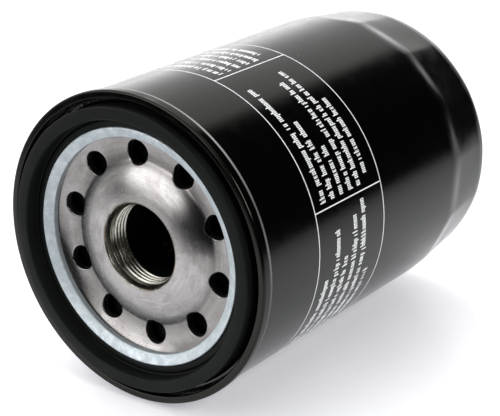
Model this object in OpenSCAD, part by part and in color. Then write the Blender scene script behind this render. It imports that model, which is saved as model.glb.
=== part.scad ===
// Spin-on oil filter, lying on its side.
// The filter's axis runs along Y: the threaded open end faces -Y and the fluted
// closed end faces +Y. The origin is on the axis, halfway along the thread.
// Every module below is drawn standing up, with z as the depth into the can
// measured from the face of the lid's plated ring; lay_down() turns it over.

/* [Canister] */
// Outside diameter of the plain body
can_d = 106.4; // [88:0.1:128]
// Depth of the closed end's outer face behind the lid's ring
can_depth = 148; // [118:1:180]
// Thickness of the drawn sheet
can_wall = 0.8; // [0.6:0.1:1.2]
// Radius of the corner at the closed end
end_corner_r = 7; // [5:0.5:9]
// Height of the shallow crown on the closed end
end_crown = 1.6; // [1:0.1:2.5]
// Number of wrench flats around the closed end
flute_count = 15; // [12:1:18]
// Length of the wrench flats, up to the closed end
flute_len = 26; // [18:1:32]
// Slope of the short ramp where a flat leaves the body
flute_ramp = 21; // [15:1:30]
// Draft of the flats towards the closed end
flute_draft = 4.4; // [2:0.1:6]
// Taper of the ridges between the flats
end_taper = 6; // [4:0.5:8]
// Turn of the first ridge above the horizontal
flute_turn = 80.6; // [0:0.1:90]

/* [Lid and seam] */
// How far the rolled seam stands out past the body
seam_step = 0.8; // [0.7:0.1:1.2]
// How far the seam's top stands in front of the ring
seam_rise = 1.7; // [1:0.1:2.5]
// Length of the seam's outer hook down the body, from the ring's face
seam_hook = 3.2; // [2.6:0.1:4]
// Width of the seam's top
seam_w = 2.7; // [2.5:0.1:3.2]
// Thickness of the lid's sheet
lid_sheet = 1.2; // [1:0.1:1.4]
// Depth of the groove that holds the gasket
groove_depth = 3; // [2.5:0.1:3.5]
// Width of the plated ring between its outer edge and its lip
ring_w = 3.7; // [3:0.1:5]
// How far the ring slopes back from its outer edge to its lip
ring_drop = 1.9; // [1:0.1:2.2]

/* [Gasket] */
// Width of the gasket's standing face
gasket_w = 4.4; // [3.6:0.1:5]
// How far the gasket stands in front of the ring
gasket_rise = 4.3; // [3:0.1:5]
// Gap between the gasket and the seam
gasket_gap = 2.3; // [1.5:0.1:3]
// Width of the low shelf inside the standing face
shelf_w = 3.2; // [2.4:0.1:4]
// How far the shelf lies behind the ring
shelf_drop = 0.6; // [0.4:0.1:1.2]

/* [Base plate] */
// Major diameter of the internal thread
thread_d = 28.575; // [22:0.001:30]
// Pitch of the internal thread
thread_pitch = 1.5875; // [1:0.0001:2]
// Length of the threaded wall
thread_len = 6.8; // [6:0.1:10]
// Diameter of the bore's mouth
mouth_d = 30; // [23:0.1:31]
// Depth of the mouth behind the ring's face
mouth_depth = 2.3; // [2:0.1:3]
// Length of the plain lead-in before the thread
lead_in = 3.1; // [2:0.1:4]
// Thickness of the plate
plate_t = 3.5; // [3:0.1:4.5]
// Thickness of the neck around the thread
neck_wall = 4.5; // [3.5:0.1:5]
// Depth of the channel floor behind the ring's face
channel_depth = 6.3; // [5.8:0.1:7.5]
// Width of the channel between the dome's foot and the lid's lip
channel_w = 9; // [8.5:0.1:10]
// Number of inlet holes
hole_count = 10; // [6:1:10]
// Diameter of an inlet hole
hole_d = 8; // [5:0.1:8.5]
// Turn of the first inlet hole above the horizontal
hole_turn = 59.3; // [0:0.1:36]

/* [Filter element] */
// Outside diameter of the perforated centre tube
tube_d = 40; // [38:0.5:50]
// Thickness of the centre tube
tube_wall = 0.6; // [0.5:0.1:1]
// Diameter of the centre tube's holes
tube_hole_d = 5; // [3:0.5:6]
// Gap between the element and the can's wall
oil_gap = 7; // [5:0.5:9]
// Thickness of the end caps' sheet
cap_sheet = 0.7; // [0.5:0.1:1]
// Height of the end caps' rims
cap_rim = 5; // [4:0.5:7]
// Thickness of the adhesive in each end cap
potting_t = 2.3; // [1.5:0.1:3]
// Number of pleats in the paper
pleat_count = 48; // [36:1:54]
// Thickness of the paper
paper_t = 0.8; // [0.5:0.1:1]

/* [Valves and springs] */
// Thickness of the anti-drain valve's rubber
rubber_t = 1.4; // [1:0.1:2]
// How far the anti-drain valve's lip lifts
lip_lift = 1.5; // [1:0.1:2]
// Diameter of the bypass valve's opening
bypass_d = 18; // [14:0.5:19]
// How far the bypass valve opens
bypass_lift = 5; // [3:0.5:6]
// Length of the bypass spring when the valve is shut
bypass_spring_len = 20; // [16:1:24]
// Wire diameter of the bypass spring
bypass_wire = 1.2; // [1:0.1:1.4]
// Room for the support spring behind the element
spring_room = 17; // [14:1:22]
// Wire diameter of the support spring
support_wire = 2.4; // [2:0.1:3]
// Mean diameter of the support spring
support_d = 52; // [44:1:56]

/* [Hidden] */
$fn = 96;

eps = 0.01;
touch = 0.05;          // gap between pieces that bear on each other
clear = 0.3;           // gap between pieces that only pass each other
thread_height = 0.541266;  // height of a 60-degree internal thread at a pitch of 1

// Canister
can_r = can_d / 2;
can_in_r = can_r - can_wall;
seam_r = can_r + seam_step;
seam_in_r = seam_r - seam_w;
ridge_half = 180 / flute_count;
ridge_z = can_depth - flute_len;
flat_cut = 0.15;       // extra depth of a flat, which keeps a soft ridge between two flats
flat_r = can_r * cos(ridge_half) - flat_cut;

// Gasket and lid, each stepped inwards from the seam
gasket_r = seam_in_r - gasket_gap;
gasket_in_r = gasket_r - gasket_w;
shelf_r = gasket_in_r - shelf_w;
ring_r = shelf_r - clear / 3;
lip_r = ring_r - ring_w;
hook_t = seam_step - touch;

// Base plate
thread_r = thread_d / 2;
minor_r = thread_r - thread_height * thread_pitch;
neck_r = minor_r + neck_wall;
thread_z = mouth_depth + lead_in;
thread_mid = thread_z + thread_len / 2;
neck_z = thread_z + thread_len;
foot_r = lip_r - channel_w;
hole_circle_r = foot_r + channel_w * 0.33;
weld_z = groove_depth + lid_sheet + touch;
plate_r = seam_in_r - clear;
plate_in_z = channel_depth + plate_t;
seat_z = weld_z + plate_t;

// Anti-drain valve
collar_r = neck_r + touch;
collar_top = neck_z + rubber_t;
lip_reach = 3;         // how far the sealing lip lands outside the lid's lip
valve_lip_r = lip_r + lip_reach;
retainer_h = 1.9;

// Element
element_r = can_in_r - oil_gap;
tube_r = tube_d / 2;
tube_in_r = tube_r - tube_wall;
lower_z = collar_top + lip_lift + retainer_h;
upper_z = can_depth - can_wall - spring_room;
paper_lo = lower_z + cap_sheet + potting_t + 2 * touch;
paper_hi = upper_z - cap_sheet - potting_t - 2 * touch;
paper_in_r = tube_r + clear;
paper_r = element_r - cap_sheet - 4 * touch;
grommet_r = neck_r - 2 * touch;
grommet_slot = 1.2;    // depth of the grommet's slot, which grips the lower cap

// Bypass valve, hung under the upper end cap
seat_w = 1.6;          // how far the disc covers its seat
disc_gap = 1.2;        // gap between the disc and the shell around it
disc_t = 1.5;
seal_t = 0.9;
stem_r = 2;
stem_tail = 3;         // how far the stem stands out of the cage when the valve is shut
bypass_r = bypass_d / 2;
disc_r = bypass_r + seat_w;
shell_in_r = disc_r + disc_gap;
shell_r = shell_in_r + cap_sheet;
shell_h = 7;           // length of the shell inside the upper cap
flange_w = 4;
body_seal_t = 0.8;
port_r = shell_r + touch;
disc_z = upper_z - cap_sheet - seal_t - touch;
spring_lo = disc_z - disc_t - bypass_spring_len;
spring_r = bypass_r - 2.2;
stop_r = spring_r - bypass_wire / 2 - 2 * clear;
stop_len = bypass_spring_len - bypass_lift - clear;

function arc(cx, cy, r, from, to, n) =
    [for (i = [0:n]) let (a = from + (to - from) * i / n) [cx + r * cos(a), cy + r * sin(a)]];

// A ring between two radii, from one depth to another.
module ring(r_in, r_out, z0, z1) {
    translate([0, 0, z0]) difference() {
        cylinder(r = r_out, h = z1 - z0);
        translate([0, 0, -1]) cylinder(r = r_in, h = z1 - z0 + 2);
    }
}

// Turns the standing filter onto its side, with the thread's middle at the origin.
module lay_down() {
    rotate([-90, 0, 0]) translate([0, 0, -thread_mid]) children();
}

// Places a child at an angle above the horizontal, seen from the open end.
module at_angle(a) {
    rotate([0, 0, -a]) children();
}

// A tube bent into a coil, with closed turns at both ends.
module coil(r, wire_r, z0, z1, turns, around = 24, sides = 10) {
    steps = turns * around;
    function rise(t) = let (u = min(1, max(0, (t - 0.1) / 0.8))) u * u * (3 - 2 * u);
    path = [for (i = [0:steps]) let (t = i / steps, a = 360 * turns * t)
        [r * cos(a), r * sin(a), z0 + wire_r + (z1 - z0 - 2 * wire_r) * rise(t), a]];
    points = [for (q = path) for (k = [0:sides - 1]) let (b = 360 * k / sides, w = r + wire_r * cos(b))
        [w * cos(q[3]), w * sin(q[3]), q[2] + wire_r * sin(b)]];
    tube = [for (i = [0:steps - 1]) for (k = [0:sides - 1]) let (n = (k + 1) % sides)
        [i * sides + k, i * sides + n, (i + 1) * sides + n, (i + 1) * sides + k]];
    first = [for (k = [sides - 1:-1:0]) k];
    last = [for (k = [0:sides - 1]) steps * sides + k];
    polyhedron(points, concat([first], tube, [last]), convexity = 10);
}

// Half outline of the can, shrunk by t all round, from depth z0 to the closed end.
module can_outline(t, z0) {
    corner = end_corner_r - t;
    hub = can_r - ((flute_len - end_corner_r) * sin(end_taper) + end_corner_r) / cos(end_taper);
    polygon(concat(
        [[0, z0], [can_r - t, z0], [can_r - t, ridge_z]],
        arc(hub, can_depth - end_corner_r, corner, end_taper, 84, 10),
        [[hub * 0.85, can_depth - t + end_crown * 0.1], [hub * 0.6, can_depth - t + end_crown * 0.7],
         [hub * 0.35, can_depth - t + end_crown], [0, can_depth - t + end_crown]]));
}

// The can's solid form, shrunk by t, with the wrench flats cut.
module can_form(t, z0) {
    ramp = (can_r - flat_r) / tan(flute_ramp) + 2;
    draft = tan(flute_draft);
    tail = flute_len + 3;
    flat_w = 2 * can_r * sin(ridge_half) + 1.2;
    difference() {
        rotate_extrude() can_outline(t, z0);
        for (k = [0:flute_count - 1]) at_angle(flute_turn + (k + 0.5) * 2 * ridge_half)
            rotate([90, 0, 0]) linear_extrude(height = flat_w, center = true) polygon([
                [flat_r - t + ramp * tan(flute_ramp), ridge_z - ramp],
                [flat_r - t, ridge_z],
                [flat_r - t - tail * draft, ridge_z + tail],
                [can_r + 5, ridge_z + tail],
                [can_r + 5, ridge_z - ramp]
            ]);
    }
}

module canister() {
    color([0.03, 0.03, 0.035]) lay_down() difference() {
        can_form(0, -seam_rise + lid_sheet * 0.7);
        can_form(can_wall, -seam_rise - 1);
    }
}

// The lid: plated ring and lip, gasket groove, and the hook rolled over the can's edge.
module seaming_lid() {
    wall_r = seam_in_r + can_wall + 0.15;
    color([0.75, 0.79, 0.82]) lay_down() rotate_extrude() polygon([
        [lip_r, ring_drop], [ring_r - 0.5, 0], [ring_r, 0.4], [ring_r, groove_depth],
        [seam_in_r, groove_depth], [seam_in_r, 0.4 - seam_rise], [seam_in_r + 0.4, -seam_rise],
        [seam_r - 0.6, -seam_rise], [seam_r, 0.6 - seam_rise], [seam_r, seam_hook - 0.5],
        [seam_r - 0.4, seam_hook], [seam_r - hook_t, seam_hook],
        [seam_r - hook_t, lid_sheet * 0.7 - seam_rise - touch],
        [wall_r, lid_sheet * 0.7 - seam_rise - touch], [wall_r, groove_depth + lid_sheet],
        [ring_r - lid_sheet, groove_depth + lid_sheet], [ring_r - lid_sheet, lid_sheet + 0.5],
        [lip_r + lid_sheet, ring_drop + lid_sheet * 0.8], [lip_r + lid_sheet, groove_depth + 1],
        [lip_r, groove_depth + 1]
    ]);
}

// The plate: neck, dome, channel with its inlet holes, and the rim welded to the lid.
module base_plate() {
    mouth_r = mouth_d / 2;
    dome = foot_r - mouth_r;
    fall = channel_depth - mouth_depth;
    under = foot_r - neck_r;
    color([0.62, 0.6, 0.58]) lay_down() difference() {
        rotate_extrude() polygon([
            [mouth_r, mouth_depth], [mouth_r + dome * 0.3, mouth_depth + fall * 0.04],
            [mouth_r + dome * 0.6, mouth_depth + fall * 0.22], [mouth_r + dome * 0.82, mouth_depth + fall * 0.5],
            [mouth_r + dome * 0.92, mouth_depth + fall * 0.75], [foot_r, channel_depth - 0.1],
            [foot_r + 1, channel_depth], [foot_r + channel_w * 0.45, channel_depth - 0.1],
            [lip_r - 1.4, channel_depth - 0.8], [lip_r + lid_sheet + 0.2, weld_z], [plate_r, weld_z],
            [plate_r, seat_z], [lip_r + 0.5, seat_z], [foot_r + channel_w * 0.5, plate_in_z - 0.3],
            [foot_r + 1, plate_in_z], [neck_r + under * 0.81, plate_in_z - 0.8],
            [neck_r + under * 0.23, plate_in_z - 2.2],
            [neck_r, plate_in_z - 1.2], [neck_r, neck_z - 0.6], [neck_r - 0.6, neck_z],
            [minor_r, neck_z], [minor_r, thread_z], [thread_r, thread_z - 0.6]
        ]);
        for (k = [0:hole_count - 1]) at_angle(hole_turn + k * 360 / hole_count)
            translate([hole_circle_r, 0, 0]) cylinder(d = hole_d, h = plate_in_z + 5);
    }
}

// The gasket: a low shelf beside the ring and a standing face with rounded edges.
module gasket() {
    floor_z = groove_depth - touch;
    color([0.13, 0.14, 0.14]) lay_down() rotate_extrude() polygon(concat(
        [[shelf_r, floor_z], [shelf_r, shelf_drop + 0.8]],
        [[shelf_r + 0.8, shelf_drop], [gasket_in_r, shelf_drop + 0.3]],
        [[gasket_in_r, 0.5 - gasket_rise], [gasket_in_r + 0.4, -gasket_rise]],
        [[gasket_r - 0.7, -gasket_rise], [gasket_r, 0.8 - gasket_rise], [gasket_r, floor_z]]));
}

module seam_sealant() {
    color([0.02, 0.02, 0.02]) lay_down()
        ring(gasket_r + touch, seam_in_r - touch, groove_depth - 0.8, groove_depth - touch);
}

// The rubber valve: a collar on the neck, a web over the inlet holes and a sealing lip.
module anti_drain_valve() {
    web_z = collar_top - rubber_t;
    color([0.1, 0.1, 0.1]) lay_down() rotate_extrude() polygon([
        [collar_r, plate_in_z - 0.9], [collar_r + 1.4, plate_in_z - 0.9], [collar_r + 1.8, web_z - 0.6],
        [foot_r, web_z], [valve_lip_r - 2.6, web_z - 1.2], [valve_lip_r - 1, seat_z + touch],
        [valve_lip_r + 1.2, seat_z + touch], [valve_lip_r + 1.4, seat_z + 0.6],
        [valve_lip_r - 1, collar_top - 1.2], [foot_r, collar_top], [collar_r, collar_top]
    ]);
}

module valve_retainer_ring() {
    outer_r = neck_r + 4;
    color([0.7, 0.7, 0.68]) lay_down() union() {
        ring(grommet_r + 3 * touch, outer_r, collar_top + touch, collar_top + touch + cap_sheet);
        ring(outer_r - cap_sheet, outer_r, collar_top + touch, collar_top + retainer_h);
    }
}

// The grommet: sits on the neck's end and grips the edge of the lower end cap.
module element_grommet() {
    base_z = neck_z + touch;
    bore_r = minor_r + 0.8;
    head_h = 1.6;
    color([0.1, 0.1, 0.1]) lay_down() difference() {
        union() {
            ring(bore_r, grommet_r, base_z, lower_z - touch);
            ring(bore_r, grommet_r - grommet_slot, lower_z - 2 * touch, lower_z + cap_sheet + 2 * touch);
            ring(bore_r, grommet_r, lower_z + cap_sheet + touch, lower_z + cap_sheet + head_h);
        }
        translate([0, 0, base_z - eps]) cylinder(r1 = bore_r + 0.8, r2 = bore_r, h = 0.8);
    }
}

// A pressed cap with an outer rim that points to the paper.
module end_cap(hole_r) {
    ring(hole_r, element_r, 0, cap_sheet);
    ring(element_r - cap_sheet, element_r, cap_sheet - eps, cap_rim);
}

module lower_end_cap() {
    color([0.78, 0.76, 0.7]) lay_down() translate([0, 0, lower_z]) end_cap(grommet_r - grommet_slot + touch);
}

module upper_end_cap() {
    color([0.78, 0.76, 0.7]) lay_down() translate([0, 0, upper_z]) mirror([0, 0, 1]) end_cap(port_r);
}

module potting(z) {
    color([0.85, 0.8, 0.6]) lay_down()
        ring(tube_r + touch, element_r - cap_sheet - touch, z, z + potting_t);
}

module lower_potting() {
    potting(lower_z + cap_sheet + touch);
}

module upper_potting() {
    potting(upper_z - cap_sheet - touch - potting_t);
}

module center_tube() {
    z0 = lower_z + cap_sheet + touch;
    z1 = upper_z - cap_sheet - touch;
    pitch = tube_hole_d * 2;
    rows = floor((paper_hi - paper_lo - pitch) / pitch);
    around = 8;
    first = (z0 + z1 - (rows - 1) * pitch) / 2;
    color([0.25, 0.24, 0.23]) lay_down() difference() {
        ring(tube_in_r, tube_r, z0, z1);
        for (row = [0:rows - 1], k = [0:around - 1])
            rotate([0, 0, (k + (row % 2) / 2) * 360 / around]) translate([tube_in_r - 2, 0, first + row * pitch])
                rotate([0, 90, 0]) cylinder(d = tube_hole_d, h = 5);
    }
}

// The folded paper: one closed zigzag between the centre tube and the outer edge.
module pleated_media() {
    step = 360 / pleat_count;
    tip = paper_t / paper_r * 180 / PI;
    fold = paper_t / paper_in_r * 180 / PI;
    outer = [for (k = [0:pleat_count - 1]) each [
        for (q = [[paper_r, -tip], [paper_r, tip], [paper_in_r + paper_t, step / 2]])
            [q[0] * cos(k * step + q[1]), q[0] * sin(k * step + q[1])]]];
    inner = [for (k = [0:pleat_count - 1]) each [
        for (q = [[paper_r - paper_t, 0], [paper_in_r, step / 2 - fold], [paper_in_r, step / 2 + fold]])
            [q[0] * cos(k * step + q[1]), q[0] * sin(k * step + q[1])]]];
    color([0.9, 0.84, 0.66]) lay_down() translate([0, 0, paper_lo])
        linear_extrude(height = paper_hi - paper_lo) difference() {
            polygon(outer);
            polygon(inner);
        }
}

// The folded strip that joins the two ends of the paper, over the tip of one pleat.
module media_seam_clip() {
    half = paper_t + 0.4;
    strip = 0.3;
    grip = 4;
    z0 = lower_z + cap_rim + clear;
    z1 = upper_z - cap_rim - clear;
    color([0.6, 0.62, 0.64]) lay_down() translate([paper_r, 0, z0]) linear_extrude(height = z1 - z0)
        polygon([
            [2 * strip, half + strip], [2 * strip, -half - strip], [-grip, -half - strip], [-grip, -half],
            [strip, -half], [strip, half], [-grip, half], [-grip, half + strip]
        ]);
}

// Glue beads around the pleats.
module pleat_bands() {
    color([0.93, 0.9, 0.8]) lay_down() for (k = [1:3])
        translate([0, 0, paper_lo + (paper_hi - paper_lo) * k / 4]) difference() {
            ring(paper_r + touch, paper_r + 1, -1, 1);
            translate([paper_r - 3, -3, -2]) cube([6, 6, 4]);
        }
}

// The shell of the bypass valve: outer flange, wall through the end cap, and the seat.
module bypass_valve_body() {
    flange_z = upper_z + body_seal_t + 2 * touch;
    flange_r = shell_r + flange_w;
    color([0.72, 0.7, 0.62]) lay_down() rotate_extrude() polygon([
        [bypass_r, upper_z - cap_sheet], [shell_in_r, upper_z - cap_sheet],
        [shell_in_r, upper_z - shell_h], [shell_r, upper_z - shell_h], [shell_r, flange_z],
        [flange_r, flange_z], [flange_r, flange_z + cap_sheet], [shell_in_r, flange_z + cap_sheet],
        [shell_in_r, upper_z], [bypass_r, upper_z]
    ]);
}

module bypass_body_seal() {
    color([0.12, 0.12, 0.12]) lay_down()
        ring(shell_r + touch, shell_r + flange_w - clear, upper_z + touch, upper_z + body_seal_t + touch);
}

// The disc: its sleeve stops the valve on the cage's floor, and its stem runs in the cage.
module bypass_valve_disc() {
    color([0.08, 0.08, 0.09]) lay_down() union() {
        translate([0, 0, disc_z - disc_t]) cylinder(r = disc_r, h = disc_t);
        translate([0, 0, disc_z - disc_t - stop_len]) cylinder(r = stop_r, h = stop_len + eps);
        translate([0, 0, spring_lo - stem_tail]) cylinder(r = stem_r, h = bypass_spring_len + stem_tail + eps);
    }
}

module bypass_disc_seal() {
    color([0.1, 0.1, 0.1]) lay_down() ring(bypass_r - 0.8, disc_r, disc_z + eps, disc_z + seal_t);
}

module bypass_spring() {
    color([0.75, 0.76, 0.78]) lay_down()
        coil(spring_r, bypass_wire / 2, spring_lo + touch, disc_z - disc_t - touch, 6);
}

// The cage: a floor that carries the spring, and four legs fixed inside the valve's shell.
module bypass_spring_cage() {
    leg_r = shell_in_r - touch;
    leg_w = 5;
    floor_t = 0.8;
    leg_top = upper_z - shell_h / 2;
    color([0.25, 0.24, 0.23]) lay_down() difference() {
        translate([0, 0, spring_lo - floor_t]) cylinder(r = leg_r, h = leg_top - spring_lo + floor_t);
        translate([0, 0, spring_lo]) cylinder(r = leg_r - cap_sheet, h = upper_z);
        for (k = [0:3]) rotate([0, 0, k * 90]) translate([leg_w / 2, leg_w / 2, spring_lo + eps])
            cube([leg_r, leg_r, upper_z]);
        translate([0, 0, spring_lo - 2]) cylinder(r = stem_r + touch, h = 4);
    }
}

module support_spring() {
    color([0.55, 0.56, 0.58]) lay_down()
        coil(support_d / 2, support_wire / 2, upper_z + touch, can_depth - can_wall - touch, 3, 32);
}

canister();
seaming_lid();
base_plate();
gasket();
seam_sealant();
anti_drain_valve();
valve_retainer_ring();
element_grommet();
lower_end_cap();
lower_potting();
center_tube();
pleated_media();
media_seam_clip();
pleat_bands();
upper_potting();
upper_end_cap();
bypass_valve_body();
bypass_body_seal();
bypass_valve_disc();
bypass_disc_seal();
bypass_spring();
bypass_spring_cage();
support_spring();
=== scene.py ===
"""Looks of a spin-on oil filter that lies on its side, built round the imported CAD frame.

Sizes are in millimetres. A place on the filter is a radius from its axis, a depth into the can from
the face of the lid's plated ring, and an angle above +X as seen from the open end.
"""
import math

import bmesh
import bpy
import numpy as np
from mathutils import Matrix, Vector


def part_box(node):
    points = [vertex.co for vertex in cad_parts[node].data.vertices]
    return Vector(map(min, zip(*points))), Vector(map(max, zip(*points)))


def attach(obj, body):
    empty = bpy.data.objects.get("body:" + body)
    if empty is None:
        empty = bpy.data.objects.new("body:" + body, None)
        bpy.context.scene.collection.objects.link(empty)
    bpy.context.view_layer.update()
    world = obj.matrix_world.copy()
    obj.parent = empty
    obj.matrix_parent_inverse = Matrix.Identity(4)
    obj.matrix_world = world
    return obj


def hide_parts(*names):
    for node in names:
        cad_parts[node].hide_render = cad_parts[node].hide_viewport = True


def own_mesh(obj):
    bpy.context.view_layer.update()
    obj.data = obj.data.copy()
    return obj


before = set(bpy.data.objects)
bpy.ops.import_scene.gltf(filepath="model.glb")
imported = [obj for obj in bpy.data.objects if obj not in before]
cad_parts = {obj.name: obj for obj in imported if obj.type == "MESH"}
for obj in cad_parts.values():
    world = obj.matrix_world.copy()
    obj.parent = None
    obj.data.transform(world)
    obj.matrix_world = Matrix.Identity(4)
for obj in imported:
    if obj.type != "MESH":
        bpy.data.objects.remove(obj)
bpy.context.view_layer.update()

MM = 0.001
TURN = 2 * math.pi


# ---------------------------------------------------------------- sizes from the frame
def box_mm(node):
    """The lowest and highest corners of a CAD node, in millimetres."""
    low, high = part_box(node)
    return [v / MM for v in low], [v / MM for v in high]


SEAM_RISE = 1.7    # how far the seam stands in front of the ring's face
FACE_Y = box_mm("seaming_lid")[0][1] + SEAM_RISE


def depth_of(node):
    """How deep a CAD node starts and ends behind the ring's face."""
    low, high = box_mm(node)
    return low[1] - FACE_Y, high[1] - FACE_Y


def radius_of(node):
    """The largest radius of a CAD node."""
    return box_mm(node)[1][2]


SEAM_R = box_mm("seaming_lid")[1][0]
SEAM_IN_R = SEAM_R - 2.7
SEAM_HOOK = 3.2
GROOVE = 3.0
LID_SHEET = 1.2

END_CROWN = 1.6
END_CORNER = 7.0
CAN_WALL = 0.8
CAN_R = SEAM_R - 0.8
CAN_EDGE = 0.84 - SEAM_RISE    # where the can's open edge lies in the hook
CAN_DEPTH = depth_of("canister")[1] - END_CROWN
FLUTES = 15
FLUTE_TURN = 80.6      # angle of the first ridge, in degrees
FLUTE_LENGTH = 26.0
FLUTE_RAMP = 21.0      # how steeply a flat runs out on the round body, in degrees
FLUTE_DRAFT = 4.4      # how far a flat leans inwards, in degrees
FLAT_SINK = 0.15
FLAT_R = CAN_R * math.cos(math.pi / FLUTES) - FLAT_SINK
END_TAPER = math.radians(6)
TAPER_SHARE = 0.93     # how much of that taper the body has between its ridges and its corner

GASKET_R = box_mm("gasket")[1][0]
GASKET_IN_R = GASKET_R - 4.4
GASKET_TOP = depth_of("gasket")[0]
SHELF_R = GASKET_IN_R - 3.2
RING_R = SHELF_R - 0.1
LIP_R = RING_R - 3.7
RING_DROP = 1.9

THREAD_R = 28.575 / 2
THREAD_PITCH = 1.5875
MINOR_R = THREAD_R - 0.541266 * THREAD_PITCH    # as an internal unified thread is cut
MOUTH_R = 15.0
MOUTH_DEPTH = 2.3
NECK_END = depth_of("base_plate")[1]
THREAD_START = NECK_END - 6.8
THREAD_LEAD = 0.6      # plain stretch between the mouth and the thread
BORE_NEAR_R = THREAD_R + 0.04
BORE_FAR_R = THREAD_R - 0.1
NECK_R = MINOR_R + 4.5
NECK_FOOT = 8.6        # where the neck's outside meets the plate's inner face
CHANNEL_W = 9.0
FOOT_R = LIP_R - CHANNEL_W
CHANNEL = 6.3
PLATE_T = 3.5
PLATE_R = SEAM_IN_R - 0.3
WELD = GROOVE + LID_SHEET + 0.05
HOLES = 10
HOLE_TURN = 59.3       # angle of the first hole, in degrees
HOLE_R = 4.25
HOLE_CIRCLE = FOOT_R + CHANNEL_W * 0.33

TUBE_R = radius_of("center_tube")
PAPER_LOW, PAPER_HIGH = depth_of("pleated_media")
PAPER_IN_R = TUBE_R + 0.3
PAPER_R = radius_of("lower_end_cap") - 0.9
PLEATS = 48
RUBBER_T = 1.4


# ---------------------------------------------------------------- mesh making
def place(radius, depth, angle):
    """Points of the row frame, in metres, from radii, depths and angles in radians."""
    radius, depth, angle = np.broadcast_arrays(radius, depth, angle)
    return np.stack([radius * np.cos(angle), FACE_Y + depth, radius * np.sin(angle)], axis=-1) * MM


def grid_faces(rows, columns, close_rows=False, close_columns=True):
    """The four-sided faces of a grid of points, closed round one or both ways."""
    i = np.arange(rows if close_rows else rows - 1)[:, None]
    j = np.arange(columns if close_columns else columns - 1)[None, :]
    down, across = (i + 1) % rows, (j + 1) % columns
    corners = [i * columns + j, i * columns + across, down * columns + across, down * columns + j]
    return np.stack(corners, axis=-1).reshape(-1, 4)


def join(parts):
    """One list of points and faces out of several."""
    points, faces, count = [], [], 0
    for part_points, part_faces in parts:
        part_points = np.asarray(part_points).reshape(-1, 3)
        points.append(part_points)
        faces.append(np.asarray(part_faces) + count)
        count += len(part_points)
    return np.concatenate(points), np.concatenate(faces)


def piece(name, points, faces, material, body="housing", slot=None, sharp=38, weld=True):
    """A mesh object that rides on a CAD body."""
    mesh = bpy.data.meshes.new(name)
    mesh.from_pydata(np.asarray(points).reshape(-1, 3).tolist(), [], [list(face) for face in faces])
    made = bmesh.new()
    made.from_mesh(mesh)
    if weld:
        bmesh.ops.remove_doubles(made, verts=made.verts, dist=2e-7)
    bmesh.ops.recalc_face_normals(made, faces=made.faces)
    made.to_mesh(mesh)
    made.free()
    mesh.shade_smooth()
    mesh.set_sharp_from_angle(angle=math.radians(sharp))
    mesh.materials.append(material)
    made = bpy.data.objects.new(name, mesh)
    bpy.context.scene.collection.objects.link(made)
    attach(made, body)
    return made


def rounded(corners, steps=5, closed=True):
    """An outline through (radius, depth, fillet) corners, each one turned by an arc of its fillet."""
    outline = []
    for i, (radius, depth, fillet) in enumerate(corners):
        here = np.array((radius, depth))
        inside = closed or 0 < i < len(corners) - 1
        if not fillet or not inside:
            outline.append(here)
            continue
        back = np.array(corners[i - 1][:2]) - here
        ahead = np.array(corners[(i + 1) % len(corners)][:2]) - here
        back_len, ahead_len = np.hypot(*back), np.hypot(*ahead)
        back, ahead = back / back_len, ahead / ahead_len
        half = math.acos(np.clip(back @ ahead, -1, 1)) / 2
        reach = min(fillet / math.tan(half), 0.48 * back_len, 0.48 * ahead_len)
        middle = (back + ahead) / np.hypot(*(back + ahead))
        centre = here + middle * reach / math.cos(half)
        arm = here + back * reach - centre
        end = here + ahead * reach - centre
        sweep = math.atan2(arm[0] * end[1] - arm[1] * end[0], arm @ end)
        for k in range(steps + 1):
            c, s = math.cos(sweep * k / steps), math.sin(sweep * k / steps)
            outline.append(centre + np.array((c * arm[0] - s * arm[1], s * arm[0] + c * arm[1])))
    return np.array(outline)


def smooth_curve(points, steps=8):
    """A smooth curve through (radius, depth) points, with even slopes at each of them."""
    points = np.array(points, float)
    slopes = np.gradient(points[:, 1], points[:, 0])
    curve = []
    for (r0, d0), (r1, d1), s0, s1 in zip(points[:-1], points[1:], slopes[:-1], slopes[1:]):
        t = np.arange(steps)[:, None] / steps
        width = r1 - r0
        depth = ((2 * t**3 - 3 * t**2 + 1) * d0 + (t**3 - 2 * t**2 + t) * width * s0
                 + (3 * t**2 - 2 * t**3) * d1 + (t**3 - t**2) * width * s1)
        curve.append(np.hstack([r0 + t * width, depth]))
    curve.append(points[-1:])
    return np.vstack(curve)


def revolved(outline, columns, first=0.0, close=True):
    """Points and faces of an outline turned round the filter's axis."""
    angles = math.radians(first) + np.arange(columns) * TURN / columns
    outline = np.asarray(outline)
    points = place(outline[:, :1], outline[:, 1:], angles[None, :])
    return points, grid_faces(len(outline), columns, close_rows=close)


def coil(radius, wire_r, low, high, turns, around=48):
    """Points and faces of a coil with closed turns at both ends."""
    sides = 16
    steps = int(turns * around)
    t = np.arange(steps + 1) / steps
    rise = np.clip((t - 0.1) / 0.8, 0, 1)
    rise = rise * rise * (3 - 2 * rise)
    depth = low + wire_r + (high - low - 2 * wire_r) * rise
    b = np.arange(sides) * TURN / sides
    points = place(radius + wire_r * np.cos(b)[None, :],
                   depth[:, None] + wire_r * np.sin(b)[None, :], (TURN * turns * t)[:, None])
    faces = grid_faces(steps + 1, sides).tolist()
    faces += [list(range(sides))[::-1], list(range(steps * sides, (steps + 1) * sides))]
    return points.reshape(-1, 3), faces


# ---------------------------------------------------------------- materials
def add_node(tree, kind, inputs=(), **settings):
    """A shader node whose inputs are plain values or other nodes' outputs."""
    made = tree.nodes.new(kind)
    for key, value in settings.items():
        setattr(made, key, value)
    for socket, value in dict(inputs).items():
        if isinstance(value, bpy.types.NodeSocket):
            tree.links.new(value, made.inputs[socket])
        else:
            made.inputs[socket].default_value = value
    return made


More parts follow.
